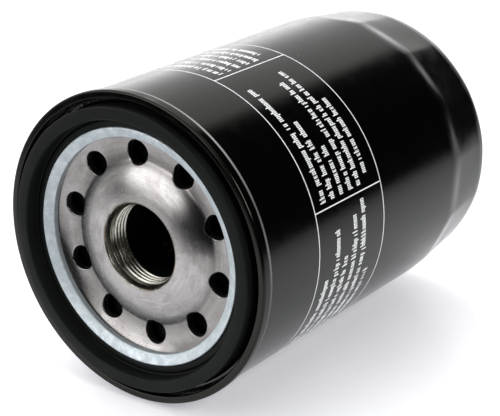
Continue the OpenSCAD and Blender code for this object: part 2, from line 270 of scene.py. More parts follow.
def smooth_range(tree, value, low, high, to_low, to_high):
    """The value's stretch from low to high eased over another stretch, and held outside it."""
    return add_node(tree, "ShaderNodeMapRange", {
        "Value": value, "From Min": low, "From Max": high, "To Min": to_low, "To Max": to_high},
        interpolation_type="SMOOTHSTEP").outputs[0]


class Finish:
    """A procedural material whose varied colour, roughness and relief come from its nodes."""

    def __init__(self, name, colour, roughness, metallic=0.0, **sockets):
        self.material = bpy.data.materials.new(name)
        self.material.use_nodes = True
        self.material.diffuse_color = (*colour, 1)
        self.tree = self.material.node_tree
        self.shader = self.tree.nodes["Principled BSDF"]
        self.colour = colour
        self.set("Base Color", (*colour, 1))
        self.set("Roughness", roughness)
        self.set("Metallic", metallic)
        for socket, value in sockets.items():
            self.set(socket.replace("_", " "), value)
        self.normal = None

    def set(self, socket, value):
        self.shader.inputs[socket].default_value = value

    def node(self, kind, inputs=(), **settings):
        return add_node(self.tree, kind, inputs, **settings)

    def link(self, socket, value):
        self.tree.links.new(value, self.shader.inputs[socket])

    def math(self, operation, a, b=0.0):
        return self.node("ShaderNodeMath", {0: a, 1: b}, operation=operation).outputs[0]

    def multiply(self, a, b):
        return self.math("MULTIPLY", a, b)

    def position(self):
        """Where a point is on the object, in metres."""
        return self.node("ShaderNodeTexCoord").outputs["Object"]

    def polar(self, radial, along, around):
        """Coordinates round the filter's axis: radius, place along it and angle, each scaled."""
        x, y, z = self.node("ShaderNodeSeparateXYZ", {0: self.position()}).outputs[:3]
        radius = self.math("SQRT", self.math("ADD", self.multiply(x, x), self.multiply(z, z)))
        angle = self.math("ARCTAN2", z, x)
        parts = {"X": self.multiply(radius, radial), "Y": self.multiply(y, along),
                 "Z": self.multiply(angle, around)}
        return self.node("ShaderNodeCombineXYZ", parts).outputs[0]

    def radius(self):
        """How far a point is from the filter's axis, in millimetres."""
        scale = 1 / MM
        return self.node("ShaderNodeSeparateXYZ", {0: self.polar(scale, scale, 1)}).outputs[0]

    def noise(self, scale, detail=3.0, roughness=0.55, where=None, distortion=0.0):
        return self.node("ShaderNodeTexNoise", {
            "Vector": where or self.position(), "Scale": scale, "Detail": detail,
            "Roughness": roughness, "Distortion": distortion}).outputs[0]

    def between(self, value, low, high, to_low=0.0, to_high=1.0):
        return smooth_range(self.tree, value, low, high, to_low, to_high)

    def tint(self, factor, colour):
        """Lays another colour over the present one by a factor that varies over the surface."""
        made = self.node("ShaderNodeMix", {0: factor}, data_type="RGBA")
        linked = self.shader.inputs["Base Color"].links
        if linked:
            self.tree.links.new(linked[0].from_socket, made.inputs[6])
        else:
            made.inputs[6].default_value = (*self.colour, 1)
        made.inputs[7].default_value = (*colour, 1)
        self.link("Base Color", made.outputs[2])

    def relief(self, height, distance):
        """Raises and sinks the surface by up to a distance in millimetres, over any earlier relief."""
        inputs = {"Height": height, "Distance": distance * MM, "Strength": 1.0}
        if self.normal:
            inputs["Normal"] = self.normal
        self.normal = self.node("ShaderNodeBump", inputs).outputs[0]
        self.link("Normal", self.normal)


def black_paint():
    """Smooth black enamel with faint waves and a few specks of dust."""
    finish = Finish("black_paint", (0.0008, 0.0008, 0.0007), 0.17, IOR=1.33,
                    Specular_Tint=(0.94, 1.0, 0.86, 1))
    finish.relief(finish.noise(60, 2), 0.02)
    finish.relief(finish.noise(1400, 2), 0.0012)
    finish.link("Roughness", finish.between(finish.noise(220, 4), 0.3, 0.75, 0.14, 0.2))
    cells = finish.node("ShaderNodeTexVoronoi", {"Vector": finish.position(), "Scale": 210})
    specks = finish.between(cells.outputs["Distance"], 0.045, 0.025)
    rare = finish.between(finish.noise(95, 1), 0.62, 0.66)
    finish.tint(finish.multiply(specks, rare), (0.25, 0.25, 0.24))
    return finish.material


def zinc_plate():
    """Bluish zinc plating with soft mottling and fine grain."""
    finish = Finish("zinc_plate", (0.5, 0.553, 0.58), 0.6, metallic=1.0)
    mottle = finish.noise(420, 5, 0.65)
    finish.tint(finish.between(mottle, 0.38, 0.7), (0.58, 0.63, 0.65))
    finish.tint(finish.between(finish.noise(1300, 3), 0.6, 0.75), (0.42, 0.475, 0.51))
    finish.link("Roughness", finish.between(mottle, 0.35, 0.7, 0.68, 0.54))
    finish.relief(finish.noise(1800, 3), 0.004)
    return finish.material


def bare_steel():
    """Oiled pressed steel with stains, turning marks, painted shade in and round the channel, and a brown
    edge round the bore.
    """
    finish = Finish("bare_steel", (0.33, 0.32, 0.315), 0.26, metallic=1.0, Anisotropic=0.85,
                    Anisotropic_Rotation=0.25)
    rings = finish.noise(1.0, 4, 0.7, where=finish.polar(2200, 600, 1.6))
    arcs = finish.noise(1.0, 3, 0.6, where=finish.polar(700, 300, 3.0))
    stain = finish.noise(120, 5, 0.6, distortion=0.4)
    finish.tint(finish.between(stain, 0.42, 0.75, 0.0, 0.75), (0.235, 0.215, 0.207))
    finish.tint(finish.between(arcs, 0.45, 0.75, 0.0, 0.7), (0.44, 0.425, 0.42))
    finish.tint(finish.between(rings, 0.5, 0.8, 0.0, 0.5), (0.23, 0.22, 0.215))
    radius = finish.radius()
    # Painted shade: the plate darkens from the dome's foot outwards, most in the channel, where the dome and
    # the ring's walls shade it.
    channel = finish.multiply(finish.between(radius, FOOT_R - 2.5, FOOT_R),
                              finish.between(radius, FOOT_R + 5, FOOT_R + 1.5, 0.35, 0.6))
    finish.tint(channel, (0.14, 0.13, 0.125))
    edge = finish.between(radius, MOUTH_R + 0.9, MOUTH_R)
    patches = finish.between(finish.noise(260, 4), 0.25, 0.5)
    finish.tint(finish.multiply(edge, patches), (0.09, 0.07, 0.045))
    finish.tint(finish.between(finish.noise(1500, 2), 0.66, 0.72, 0.0, 0.7), (0.1, 0.09, 0.08))
    finish.link("Roughness", finish.between(stain, 0.3, 0.75, 0.22, 0.32))
    finish.relief(rings, 0.004)
    finish.relief(arcs, 0.006)
    finish.link("Tangent", finish.node("ShaderNodeTangent", direction_type="RADIAL", axis="Y").outputs[0])
    finish.relief(finish.noise(900, 3), 0.003)
    return finish.material


def cut_steel():
    """Steel of the cut thread, with fine tool marks along it and roots darkened towards near-black."""
    finish = Finish("cut_steel", (0.5, 0.49, 0.44), 0.25, metallic=1.0)
    marks = finish.noise(1.0, 4, 0.65, where=finish.polar(900, 5000, 5))
    finish.tint(finish.between(marks, 0.4, 0.7, 0.0, 0.8), (0.34, 0.32, 0.27))
    radius = finish.radius()
    root = finish.multiply(finish.between(radius, MINOR_R + 0.2, THREAD_R - 0.1),
                           finish.between(radius, THREAD_R + 0.5, THREAD_R + 0.1))
    finish.tint(finish.multiply(root, 0.85), (0.05, 0.045, 0.03))
    finish.link("Roughness", finish.between(marks, 0.35, 0.7, 0.2, 0.32))
    finish.relief(marks, 0.006)
    return finish.material


def rubber():
    """Matt grey-black rubber with a fine grain and a chalky bloom."""
    finish = Finish("black_rubber", (0.0032, 0.0038, 0.0034), 0.5, Specular_IOR_Level=0.13,
                    Specular_Tint=(0.92, 1.0, 0.94, 1))
    bloom = finish.noise(90, 4)
    finish.tint(finish.between(bloom, 0.4, 0.7, 0.0, 0.6), (0.0055, 0.0065, 0.006))
    finish.link("Roughness", finish.between(bloom, 0.35, 0.7, 0.5, 0.62))
    finish.relief(finish.noise(2400, 3), 0.004)
    return finish.material


def sealant():
    """Glossy black seaming compound."""
    finish = Finish("sealant", (0.002, 0.002, 0.002), 0.12, IOR=1.5)
    finish.relief(finish.noise(700, 3), 0.05)
    return finish.material


def ink():
    """Slightly uneven off-white printing ink."""
    finish = Finish("ink", (0.88, 0.9, 0.9), 0.4)
    finish.tint(finish.between(finish.noise(900, 3), 0.4, 0.7, 0.0, 0.7), (0.7, 0.72, 0.72))
    return finish.material


def tinned_steel():
    """Tinned sheet with rolling streaks along its length."""
    finish = Finish("tinned_steel", (0.62, 0.6, 0.54), 0.32, metallic=1.0)
    streaks = finish.noise(1.0, 4, 0.6, where=finish.polar(900, 120, 6))
    finish.tint(finish.between(streaks, 0.4, 0.7, 0.0, 0.7), (0.74, 0.73, 0.68))
    finish.link("Roughness", finish.between(streaks, 0.3, 0.7, 0.24, 0.42))
    finish.relief(streaks, 0.003)
    return finish.material


def dark_steel():
    """Nearly black sheet, a little oily, used as painted shade inside the can: on the centre tube, the spring
    cage and the plate's holes and back.
    """
    finish = Finish("dark_steel", (0.035, 0.033, 0.03), 0.4, metallic=0.6)
    cloud = finish.noise(300, 5, 0.65)
    finish.tint(finish.between(cloud, 0.42, 0.68), (0.07, 0.065, 0.06))
    finish.relief(finish.noise(1200, 3), 0.004)
    return finish.material


def spring_steel():
    """Drawn wire with faint die lines."""
    finish = Finish("spring_steel", (0.4, 0.41, 0.43), 0.3, metallic=1.0)
    lines = finish.noise(1500, 2)
    finish.tint(finish.between(lines, 0.4, 0.7), (0.5, 0.51, 0.52))
    finish.relief(lines, 0.002)
    return finish.material


def paper():
    """Resin-treated filter paper with fibres."""
    finish = Finish("filter_paper", (0.7, 0.55, 0.3), 0.85)
    fibres = finish.noise(900, 6, 0.7, distortion=1.2)
    finish.tint(finish.between(fibres, 0.4, 0.65), (0.8, 0.67, 0.42))
    finish.relief(fibres, 0.03)
    return finish.material


def plastic(name, colour, shade, roughness):
    """A moulded or poured plastic with soft, cloudy colour."""
    finish = Finish(name, colour, roughness, IOR=1.5)
    cloud = finish.noise(160, 4)
    finish.tint(finish.between(cloud, 0.35, 0.7), shade)
    finish.relief(finish.noise(800, 3), 0.01)
    return finish.material


PAINT = black_paint()
ZINC = zinc_plate()
STEEL = bare_steel()
CUT_STEEL = cut_steel()
RUBBER = rubber()
SEALANT = sealant()
INK = ink()
TIN = tinned_steel()
SPRING = spring_steel()
PAPER = paper()
ADHESIVE = plastic("adhesive", (0.62, 0.5, 0.26), (0.72, 0.6, 0.36), 0.5)
HOT_MELT = plastic("hot_melt", (0.75, 0.7, 0.52), (0.82, 0.78, 0.64), 0.45)
# Painted shade: the nylon is near-black so the bypass disc seen through the bore reads as shade.
NYLON = plastic("nylon", (0.012, 0.012, 0.013), (0.02, 0.02, 0.021), 0.4)
# Painted shade: near-black steel stands in for the shade inside the can and in the plate's holes.
PAINTED_SHADE_STEEL = dark_steel()


# ---------------------------------------------------------------- the can
RIDGE_SOFTNESS = 0.5    # rounding of the ridges between the flats
RAMP_SOFTNESS = 2.2     # rounding of each flat's near end
FLUTE_BLEND = 1.7       # width over which a flat blends into the round body
CAN_COLUMNS = FLUTES * 26


def soft_min(a, b, width):
    """The smaller of two lengths, blended over a width where they meet."""
    near = np.clip(width - np.abs(a - b), 0, None) / width
    return np.minimum(a, b) - near * near * width / 4


def ease(value, low, high):
    """A smooth step from 0 at low to 1 at high."""
    t = np.clip((value - low) / (high - low), 0, 1)
    return t * t * (3 - 2 * t)


def end_profile(inset):
    """Radii and depths of the round can from its open edge to the middle of its closed end."""
    corner = END_CORNER - inset
    face = CAN_DEPTH - inset
    turn = CAN_DEPTH - END_CORNER
    ridge = CAN_DEPTH - FLUTE_LENGTH
    hub = CAN_R - ((turn - ridge) * math.sin(END_TAPER) + END_CORNER) / math.cos(END_TAPER)
    shoulder = turn + corner * math.sin(END_TAPER)
    straight = np.concatenate([
        np.linspace(CAN_EDGE, ridge - 7, 24), np.arange(ridge - 6.5, ridge + 4, 0.25),
        np.linspace(ridge + 4.5, shoulder, 14)])
    arc = np.linspace(END_TAPER, math.radians(84), 22)[1:]
    radii = CAN_R - inset - np.clip(straight - ridge, 0, None) * math.tan(END_TAPER) * TAPER_SHARE
    radii = np.concatenate([radii, hub + corner * np.cos(arc)])
    depths = np.concatenate([straight, turn + corner * np.sin(arc)])
    crown = smooth_curve([
        (-radii[-1], depths[-1]), (-hub * 0.85, face + END_CROWN * 0.1), (-hub * 0.6, face + END_CROWN * 0.7),
        (-hub * 0.35, face + END_CROWN), (0, face + END_CROWN)], 6)[1:]
    return np.concatenate([radii, -crown[:, 0]]), np.concatenate([depths, crown[:, 1]])


def can_surface(inset):
    """Rows of the fluted can's surface from its open edge to the middle of its closed end."""
    radii, depths = end_profile(inset)
    radii, depths = radii[:, None], depths[:, None]
    turned = np.arange(CAN_COLUMNS) * TURN / CAN_COLUMNS
    half = math.pi / FLUTES
    from_ridge = half - np.abs(turned % (2 * half) - half)
    from_ridge = np.sqrt(from_ridge**2 + (RIDGE_SOFTNESS / CAN_R)**2)[None, :]
    past = depths - (CAN_DEPTH - FLUTE_LENGTH)
    soft_past = 0.5 * (past + np.sqrt(past**2 + RAMP_SOFTNESS**2))
    ramp = math.tan(math.radians(FLUTE_RAMP))
    flat = FLAT_R - inset - past * ramp + soft_past * (ramp - math.tan(math.radians(FLUTE_DRAFT)))
    bulge = 0.15 + 0.5 * ease(past, 0, 18)
    cut = flat + flat * (1 / np.cos(half - from_ridge) - 1) * (1 - bulge) + FLAT_SINK
    radius = np.where(radii > 0, soft_min(radii, cut, FLUTE_BLEND), 0.0)
    return place(radius, depths, math.radians(FLUTE_TURN) + turned[None, :])


def build_can():
    """The drawn can, with a real wall, a crowned end and the wrench flats round its far end."""
    points = np.concatenate([can_surface(CAN_WALL)[::-1], can_surface(0.0)])
    can = piece("can_shell", points, grid_faces(len(points), CAN_COLUMNS), PAINT, slot="black_paint")
    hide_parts("canister")


# ---------------------------------------------------------------- the lid, gasket and seam
def build_lid():
    """The plated ring in front and the black seam, which hooks round the can's edge."""
    split = GASKET_IN_R + 2
    under = GROOVE + LID_SHEET
    ring = rounded([
        (LIP_R, RING_DROP, 0.5), (RING_R, 0.0, 0.45), (RING_R, GROOVE, 0.4), (split, GROOVE, 0),
        (split, under, 0), (RING_R - LID_SHEET, under, 0.6), (RING_R - LID_SHEET, LID_SHEET + 0.5, 0.3),
        (LIP_R + LID_SHEET, RING_DROP + LID_SHEET * 0.8, 0.4), (LIP_R + LID_SHEET, GROOVE + 1, 0.2),
        (LIP_R, GROOVE + 1, 0.2)])
    zinc = piece("lid_ring", *revolved(ring, 320), ZINC, slot="zinc_plate")
    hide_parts("seaming_lid")

    hook_r = SEAM_R - 0.75
    fold = CAN_EDGE - 0.05
    wall = SEAM_IN_R + 0.95
    seam = rounded([
        (split + 0.02, GROOVE, 0), (SEAM_IN_R, GROOVE, 0.5), (SEAM_IN_R, -SEAM_RISE, 0.45),
        (SEAM_R, -SEAM_RISE, 0.8), (SEAM_R, 1.5, 1.6), (SEAM_R - 0.55, SEAM_HOOK, 0.15),
        (hook_r, SEAM_HOOK, 0.1), (hook_r, fold, 0.1), (wall, fold, 0.1), (wall, under, 0.3),
        (split + 0.02, under, 0)], steps=8)
    black = piece("lid_seam", *revolved(seam, 360), PAINT, slot="black_paint")
    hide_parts("seaming_lid")


def build_gasket():
    """The rubber ring: a low shelf inside and a standing, slightly domed face outside."""
    floor = GROOVE - 0.05
    top = GASKET_TOP
    outline = rounded([
        (SHELF_R, floor, 0.2), (SHELF_R, 0.6, 0.75), (SHELF_R + 1.9, 0.62, 0.8), (GASKET_IN_R, 1.3, 0.4),
        (GASKET_IN_R, top + 0.08, 0.6), (GASKET_IN_R + 2.2, top, 6), (GASKET_R, top + 0.1, 0.5),
        (GASKET_R, floor, 0.3)], steps=7)
    gasket = piece("gasket_ring", *revolved(outline, 320), RUBBER, slot="black_rubber")
    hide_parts("gasket")


def build_sealant():
    """An uneven bead of compound in the groove between the gasket and the seam."""
    columns = 900
    mean_height, lowest, highest, unevenness = 0.3, 0.12, 0.7, 0.2
    random = np.random.default_rng(7)
    angles = np.arange(columns) * TURN / columns
    height = np.full(columns, mean_height)
    for waves in (9, 23, 41, 77, 120, 170):
        height += unevenness / math.sqrt(waves) * np.sin(waves * angles + random.uniform(0, TURN))
    height = np.clip(height, lowest, highest)
    low, high = GASKET_R + 0.05, SEAM_IN_R - 0.05
    t = np.linspace(0, 1, 9)
    arch = np.sin(np.pi * t) ** 0.6
    radius = low + (high - low) * t
    top = place(radius[:, None], GROOVE - 0.1 - arch[:, None] * height[None, :], angles[None, :])
    base = place(np.array([high, low])[:, None], GROOVE - 0.05, angles[None, :])
    points = np.concatenate([top, base])
    bead = piece("seam_bead", points, grid_faces(len(points), columns, close_rows=True), SEALANT,
                 slot="sealant")
    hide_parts("seam_sealant")


# ---------------------------------------------------------------- the base plate
HOLE_SIDE = 32     # steps along each side of the patch round a hole
PLATE_COLUMNS = HOLES * HOLE_SIDE
PLATE_FIRST = HOLE_TURN - 180 / HOLES
ZONE_IN = HOLE_CIRCLE - HOLE_R - 1.1
ZONE_OUT = HOLE_CIRCLE + HOLE_R + 0.9
MOUTH_EDGE_R = MOUTH_R + 3.0
# Face materials: 1 is near-black painted shade for the hole walls and the plate's back, 2 is the cut thread.
PAINTED_SHADE_INDEX, THREAD_INDEX = 1, 2
DOME = FOOT_R - MOUTH_R
FALL = CHANNEL - MOUTH_DEPTH
TOP_CURVE = smooth_curve([
    (MOUTH_R, MOUTH_DEPTH), (MOUTH_R + DOME * 0.3, MOUTH_DEPTH + FALL * 0.08),
    (MOUTH_R + DOME * 0.6, MOUTH_DEPTH + FALL * 0.3), (MOUTH_R + DOME * 0.82, MOUTH_DEPTH + FALL * 0.59),
    (MOUTH_R + DOME * 0.92, MOUTH_DEPTH + FALL * 0.79), (FOOT_R + 0.1, CHANNEL - 0.12),
    (FOOT_R + 1.3, CHANNEL), (FOOT_R + 4, CHANNEL - 0.1), (LIP_R - 1.4, CHANNEL - 0.8),
    (LIP_R + 1.4, WELD), (PLATE_R, WELD)])
UNDER_CURVE = smooth_curve([
    (NECK_R, NECK_FOOT), (NECK_R + 2.5, NECK_FOOT - 1), (FOOT_R - 2, CHANNEL + PLATE_T - 0.8),
    (FOOT_R + 1, CHANNEL + PLATE_T), (FOOT_R + 4.5, CHANNEL + PLATE_T - 0.3),
    (LIP_R + 0.5, WELD + PLATE_T), (PLATE_R, WELD + PLATE_T)])


def top_depth(radius):
    return np.interp(radius, TOP_CURVE[:, 0], TOP_CURVE[:, 1])


def under_depth(radius):
    return np.interp(radius, UNDER_CURVE[:, 0], UNDER_CURVE[:, 1])


def plate_rings(curve, low, high):
    """The part of a curve between two radii, with a point at each of them."""
    inside = curve[(curve[:, 0] > low + 0.05) & (curve[:, 0] < high - 0.05)]
    ends = [(r, np.interp(r, curve[:, 0], curve[:, 1])) for r in (low, high)]
    return np.vstack([ends[0], inside, ends[1]])


def hole_patch(index):
    """One inlet hole with the plate round it: outer face, bevelled edge, wall and inner face."""
    side = HOLE_SIDE
    middle = math.radians(HOLE_TURN + index * 360 / HOLES)
    half = math.pi / HOLES
    swing = np.linspace(-half, half, side + 1)
    reach = np.linspace(ZONE_IN, ZONE_OUT, side + 1)
    radii = np.concatenate([np.full(side, ZONE_OUT), reach[:0:-1], np.full(side, ZONE_IN), reach[:-1]])
    angles = middle + np.concatenate([swing[:-1], np.full(side, half), swing[:0:-1], np.full(side, -half)])
    border = np.stack([radii * np.cos(angles), radii * np.sin(angles)], 1)
    centre = HOLE_CIRCLE * np.array((math.cos(middle), math.sin(middle)))
    away = border - centre
    away /= np.hypot(*away.T)[:, None]

    def ring(plan, depth):
        radius = np.hypot(*plan.T)
        return place(radius, depth(radius), np.arctan2(plan[:, 1], plan[:, 0]))

    def rim(extra, depth):
        return ring(centre + away * (HOLE_R + extra), depth)

    def spread(extra, share):
        edge = centre + away * (HOLE_R + extra)
        return edge + (border - edge) * share

    rows = [ring(spread(0.3, s), top_depth) for s in (1, 0.7, 0.42, 0.2, 0.07, 0)]
    rows += [rim(0.14, lambda r: top_depth(r) + 0.05), rim(0.04, lambda r: top_depth(r) + 0.16),
             rim(0.0, lambda r: top_depth(r) + 0.35), rim(0.0, lambda r: under_depth(r) - 0.3),
             rim(0.2, under_depth)]
    rows += [ring(spread(0.2, s), under_depth) for s in (0.3, 0.65, 1)]
    points = np.array(rows)
    return points, grid_faces(len(rows), 4 * side)


def thread_wall():
    """The threaded wall as a grid whose rows follow the helix, trimmed square at both ends.

    A turn runs from root to crest and back; its outline gives the share of the way to the crest.
    """
    half_turn = np.array([0.0, 0.05, 0.085, 0.22, 0.355, 0.395, 0.5])
    phases = np.concatenate([half_turn, 1 - half_turn[-2:0:-1]])
    to_crest = np.interp(np.minimum(phases, 1 - phases), [0.0, 0.05, 0.085, 0.355, 0.395, 0.5],
                         [0.0, 0.02, 0.08, 0.93, 0.99, 1.0])
    start, end = THREAD_START - THREAD_LEAD, NECK_END
    turns = math.ceil((end - start) / THREAD_PITCH) + 2
    step = (np.arange(turns)[:, None] + phases[None, :]).reshape(-1)
    share = np.tile(to_crest, turns)
    angle = math.radians(PLATE_FIRST) + np.arange(PLATE_COLUMNS + 1) * TURN / PLATE_COLUMNS
    lean = np.arange(PLATE_COLUMNS + 1) / PLATE_COLUMNS
    depth = start + THREAD_PITCH * (step[:, None] - 1 - lean[None, :])
    radius = THREAD_R - (THREAD_R - MINOR_R) * share[:, None]
    opening = BORE_NEAR_R - np.clip(depth - start, 0, None) * 0.75
    leaving = BORE_FAR_R - np.clip(end - depth, 0, None)
    radius = np.maximum(radius, np.maximum(opening, leaving))
    radius = np.where(depth <= start, BORE_NEAR_R, np.where(depth >= end, BORE_FAR_R, radius))
    points = place(radius, np.clip(depth, start, end), angle[None, :])
    return points, grid_faces(len(step), PLATE_COLUMNS + 1, close_columns=False)


def face_index(centre):
    """Which of the plate's materials a face has: painted shade in the holes and behind, cut in the bore."""
    x, y, z = centre / MM
    gap = 360 / HOLES
    turn = (math.degrees(math.atan2(z, x)) - HOLE_TURN) % gap
    turn = math.radians(min(turn, gap - turn))
    radius = math.hypot(x, z)
    off = math.hypot(radius * math.cos(turn) - HOLE_CIRCLE, radius * math.sin(turn))
    behind = y - FACE_Y > CHANNEL + 0.6 and radius > NECK_R
    if off < HOLE_R + 0.02 or behind:
        return PAINTED_SHADE_INDEX
    return THREAD_INDEX if radius < MOUTH_R - 0.05 else 0


def build_plate():
    """The pressed plate: dome, channel and rim are turned, the holes and thread are built apart."""
    mouth = rounded([
        (MOUTH_EDGE_R, top_depth(MOUTH_EDGE_R), 0), (MOUTH_R, MOUTH_DEPTH, 0.55),
        (THREAD_R + 0.25, THREAD_START - 0.9, 0.4), (BORE_NEAR_R, THREAD_START - THREAD_LEAD, 0)],
        steps=6, closed=False)
    dome = plate_rings(TOP_CURVE, MOUTH_EDGE_R, ZONE_IN)
    inside = np.vstack([dome[::-1], mouth[1:]])
    neck = rounded([(BORE_FAR_R, NECK_END, 0), (NECK_R, NECK_END, 0.6), (NECK_R, NECK_FOOT, 0)], closed=False)
    under = np.vstack([neck, plate_rings(UNDER_CURVE, NECK_R, ZONE_IN)[1:]])
    rim = np.vstack([plate_rings(UNDER_CURVE, ZONE_OUT, PLATE_R),
                     plate_rings(TOP_CURVE, ZONE_OUT, PLATE_R)[::-1]])
    parts = [revolved(outline, PLATE_COLUMNS, PLATE_FIRST, close=False) for outline in (inside, under, rim)]
    parts.append(thread_wall())
    parts += [hole_patch(k) for k in range(HOLES)]
    plate = piece("threaded_plate", *join(parts), STEEL, slot="bare_steel", sharp=50)
    # Painted shade: near-black steel on the hole walls and the plate's back.
    plate.data.materials.append(PAINTED_SHADE_STEEL)
    plate.data.materials.append(CUT_STEEL)
    for face in plate.data.polygons:
        face.material_index = face_index(face.center)
    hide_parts("base_plate")


# ---------------------------------------------------------------- the print on the can
FRAME_NEAR, FRAME_FAR = 29.5, 68.6
DIVIDER = 15.8         # degrees
PANEL_SPAN = 62.4      # degrees
INDENT, LAST_INDENT = 2.4, 5.6    # degrees
LINE_W = 0.42
FIRST_ROW = 35.7
ROW_PITCH = 5.15
LETTER_W = 1.26
X_HEIGHT = 1.95
ASCENDER, DESCENDER = 1.5, 0.4    # shares of X_HEIGHT
STROKE = 0.34                     # share of a letter's width
CROSS_STROKE = 0.22               # share of X_HEIGHT
WORD_GAP = 0.7                    # share of a letter's width
INK_UP = 0.03
# How many strokes and gaps fill each row of each panel
ROW_LENGTHS = ((27, 41, 30, 41, 44, 20), (38, 24, 14, 38, 40, 24), (34, 27, 19, 40, 36, 26),
               (30, 36, 22, 42, 38, 18), (37, 29, 16, 39, 42, 22))


def ink_bar(depth_low, depth_high, angle_low, angle_high):
    """A thin raised bar of ink between two depths and two angles in degrees, curved with the can."""
    steps = max(1, math.ceil((angle_high - angle_low) / 2))
    angles = np.radians(np.linspace(angle_low, angle_high, steps + 1))
    radii = np.array([CAN_R - 0.05, CAN_R + INK_UP, CAN_R + INK_UP, CAN_R - 0.05])
    depths = np.array([depth_low, depth_low, depth_high, depth_high])
    points = place(radii[None, :], depths[None, :], angles[:, None])
    faces = grid_faces(steps + 1, 4)
    ends = np.array([[3, 2, 1, 0], [steps * 4, steps * 4 + 1, steps * 4 + 2, steps * 4 + 3]])
    return points, np.concatenate([faces, ends])


def print_row(random, depth, angle, length):
    """A row of plain strokes in word-like groups; the strokes stand for print and spell nothing."""
    bars = []
    cell = LETTER_W * math.degrees(1 / CAN_R)
    left = length
    while left > 1:
        word = min(left, int(random.integers(2, 11)))
        for _ in range(word):
            size, kind = random.random(2)
            rise = X_HEIGHT * (ASCENDER if size < 0.3 else 1.0)
            drop = X_HEIGHT * (DESCENDER if size > 0.9 else 0.0)
            top, base = depth - X_HEIGHT / 2, depth + X_HEIGHT / 2
            stem = angle + cell * 0.08
            bars.append(ink_bar(base - rise, base + drop, stem, stem + cell * STROKE))
            far = stem + cell * 0.52
            if 0.15 < kind < 0.75:
                bars.append(ink_bar(top, base, far, far + cell * STROKE))
            levels = (0.0,) if kind < 0.4 else (0.0, 0.78)
            if kind > 0.75:
                levels = (0.0, 0.4, 0.8)
                far = far + cell * 0.16
            for level in levels if kind > 0.15 else ():
                start = depth + (level - 0.5) * X_HEIGHT
                bars.append(ink_bar(start, start + X_HEIGHT * CROSS_STROKE, stem + cell * STROKE, far))
            angle += cell
        angle += cell * WORD_GAP
        left -= word + 1
    return bars


def build_print():
    """Two lines round the can, lines along it between the panels, and rows of strokes in each panel."""
    per_mm = math.degrees(1 / CAN_R)
    lines = [ink_bar(depth, depth + LINE_W, 0, 360) for depth in (FRAME_NEAR, FRAME_FAR)]
    strokes = []
    random = np.random.default_rng(21)
    edges = [DIVIDER + (panel - 1) * PANEL_SPAN for panel in range(len(ROW_LENGTHS) + 1)]
    for edge in edges:
        lines.append(ink_bar(FRAME_NEAR, FRAME_FAR, edge, edge + LINE_W * per_mm))
    for edge, lengths in zip(edges, ROW_LENGTHS):
        for row, length in enumerate(lengths):
            indent = INDENT if row < len(lengths) - 1 else LAST_INDENT
            strokes += print_row(random, FIRST_ROW + row * ROW_PITCH, edge + indent, length)
    piece("print_frame", *join(lines), INK, weld=False)
    piece("print_rows", *join(strokes), INK, weld=False)


# ---------------------------------------------------------------- inside the can
def build_media():
    """Rounded paper pleats between the centre tube and the element's edge."""
    thick = 0.7
    samples = 26
    t = (np.arange(PLEATS * samples) + 0.5) / samples
    swing = np.abs((t % 1) * 2 - 1)
    soft = np.clip(0.5 + (swing - 0.5) * 1.16, 0, 1)
    soft = soft * soft * (3 - 2 * soft) * 0.25 + soft * 0.75
    middle = PAPER_IN_R + thick / 2 + (PAPER_R - PAPER_IN_R - thick) * soft
    angle = t * TURN / PLEATS
    path = np.stack([middle * np.cos(angle), middle * np.sin(angle)], 1)
    along = np.roll(path, -1, 0) - np.roll(path, 1, 0)
    along /= np.hypot(*along.T)[:, None]
    normal = np.stack([along[:, 1], -along[:, 0]], 1) * thick / 2
    rows = []
    corners = ((normal, PAPER_LOW), (normal, PAPER_HIGH), (-normal, PAPER_HIGH), (-normal, PAPER_LOW))
    for offset, depth in corners:
        plan = path + offset
        radius = np.clip(np.hypot(*plan.T), PAPER_IN_R, PAPER_R)
        rows.append(place(radius, depth, np.arctan2(plan[:, 1], plan[:, 0])))
    media = piece("paper_pleats", np.array(rows), grid_faces(4, len(path), close_rows=True), PAPER,
                  slot="filter_paper", sharp=60)
    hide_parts("pleated_media")


def build_springs():
    """The bypass valve's coil and the coil behind the element."""
    wire_r = 0.6
    low, high = depth_of("bypass_spring")
    radius = radius_of("bypass_spring") - wire_r
    spring = piece("bypass_coil", *coil(radius, wire_r, low, high, 6), SPRING, slot="spring_steel")
    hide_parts("bypass_spring")
    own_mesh(spring)
    wire_r = 1.2
    low, high = depth_of("support_spring")
    radius = radius_of("support_spring") - wire_r
    support = piece("support_coil", *coil(radius, wire_r, low, high, 3, around=96), SPRING,
                    slot="spring_steel")
    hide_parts("support_spring")


def build_drain_valve():
    """The anti-drain valve's collar, web and skirt."""
    top = NECK_END + RUBBER_T
    collar = NECK_R + 0.05
    collar_end = CHANNEL + PLATE_T - 0.9
    web = NECK_END
    lip = LIP_R + 3
    seat = WELD + PLATE_T + 0.05
    outline = rounded([
        (collar, collar_end, 0.2), (collar + RUBBER_T, collar_end, 0.2), (collar + 1.8, web - 0.6, 0.8),
        (FOOT_R, web, 2), (lip - 2.6, web - 1.2, 2), (lip - 1, seat, 0.5), (lip + 1.2, seat, 0.3),
        (lip + 1.4, seat + 0.6, 0.3), (lip - 1, top - 1.2, 2), (FOOT_R, top, 2), (collar, top, 0.3)])
    valve = piece("drain_skirt", *revolved(outline, 192), RUBBER, slot="black_rubber")
    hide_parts("anti_drain_valve")
    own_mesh(valve)


